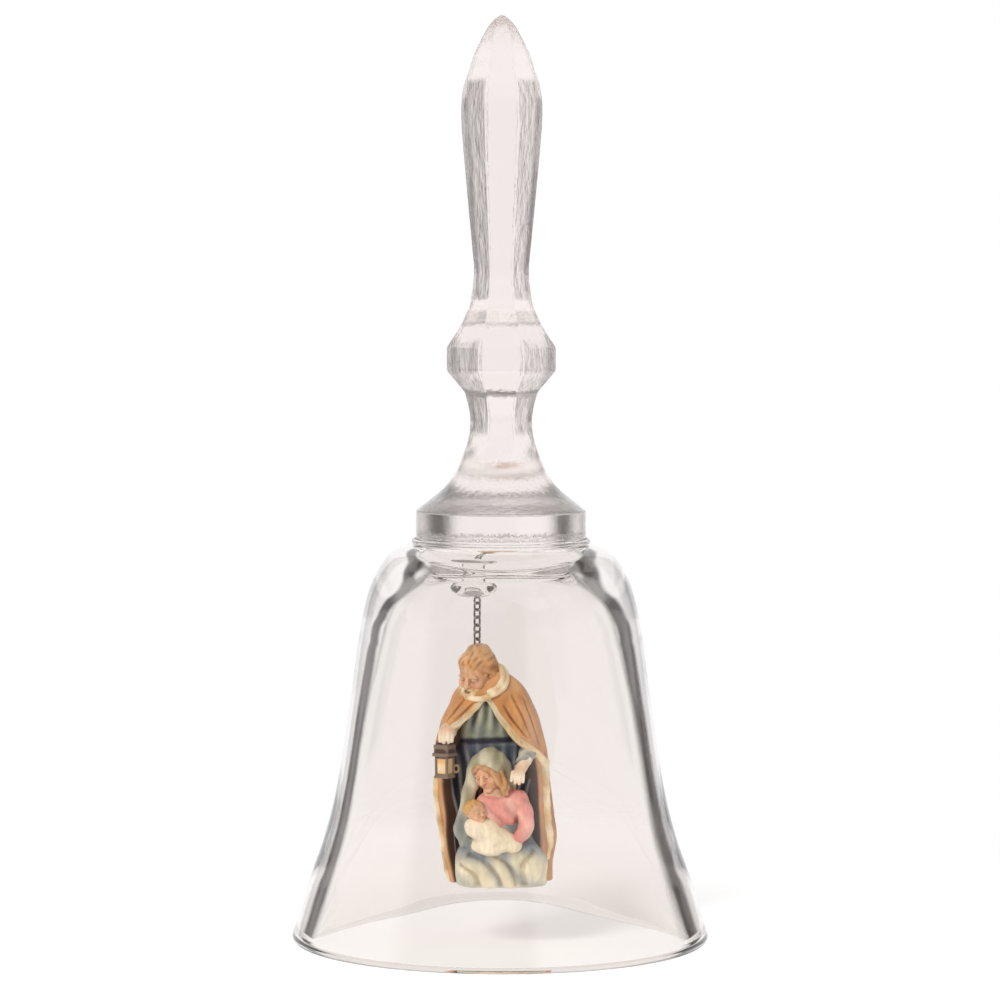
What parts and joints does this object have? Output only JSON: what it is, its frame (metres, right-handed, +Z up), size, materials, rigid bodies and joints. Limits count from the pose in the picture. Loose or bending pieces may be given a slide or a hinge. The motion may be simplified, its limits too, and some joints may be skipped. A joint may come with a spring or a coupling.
{
  "type": "glass bell",
  "caption": "Clear glass hand bell with a flat-sided handle and a carved, painted wooden clapper hung on a fine chain.",
  "frame": {"origin": "centre of the flat ring that the rim stands on", "axes": "+Z up along the bell's axis to the tip of the handle, -Y towards the front of the carved figures, +X to their left"},
  "size_m": [0.0676, 0.0676, 0.15],
  "materials": {
    "clear_glass": "fire-polished clear pressed glass",
    "bond_glass": "clear fused glass bead",
    "clear_adhesive": "clear set adhesive",
    "steel_wire": "drawn steel wire",
    "painted_wood": "hand-painted carved maple with a satin glaze"
  },
  "bodies": {
    "bell": {"glass_shell": "clear_glass", "glass_handle": "clear_glass", "handle_bond": "bond_glass", "hanger_pad": "clear_adhesive", "hanger_loop": "steel_wire"},
    "link_1": {"chain_link_1": "steel_wire"},
    "link_2": {"chain_link_2": "steel_wire"},
    "link_3": {"chain_link_3": "steel_wire"},
    "link_4": {"chain_link_4": "steel_wire"},
    "link_5": {"chain_link_5": "steel_wire"},
    "clapper": {"screw_eye": "steel_wire", "carved_family": "painted_wood"}
  },
  "joints": [
    {"name": "link_1_pitch", "type": "hinge", "parent": "bell", "child": "link_1", "pos_m": [-0.0038, 0, 0.0572], "axis": [0.7071, 0.7071, 0], "range_deg": [-6, 6]},
    {"name": "link_2_roll", "type": "hinge", "parent": "link_1", "child": "link_2", "pos_m": [-0.0038, 0, 0.05568], "axis": [-0.7071, 0.7071, 0], "range_deg": [-5, 5]},
    {"name": "link_3_twist", "type": "hinge", "parent": "link_2", "child": "link_3", "pos_m": [-0.0038, 0, 0.05416], "axis": [0, 0, 1], "range_deg": [-30, 30]},
    {"name": "link_4_roll", "type": "hinge", "parent": "link_3", "child": "link_4", "pos_m": [-0.0038, 0, 0.05264], "axis": [-0.7071, 0.7071, 0], "range_deg": [-5, 5]},
    {"name": "link_5_pitch", "type": "hinge", "parent": "link_4", "child": "link_5", "pos_m": [-0.0038, 0, 0.05112], "axis": [0.7071, 0.7071, 0], "range_deg": [-6, 6]},
    {"name": "clapper_roll", "type": "hinge", "parent": "link_5", "child": "clapper", "pos_m": [-0.0038, 0, 0.0496], "axis": [-0.7071, 0.7071, 0], "range_deg": [-4, 4]}
  ]
}
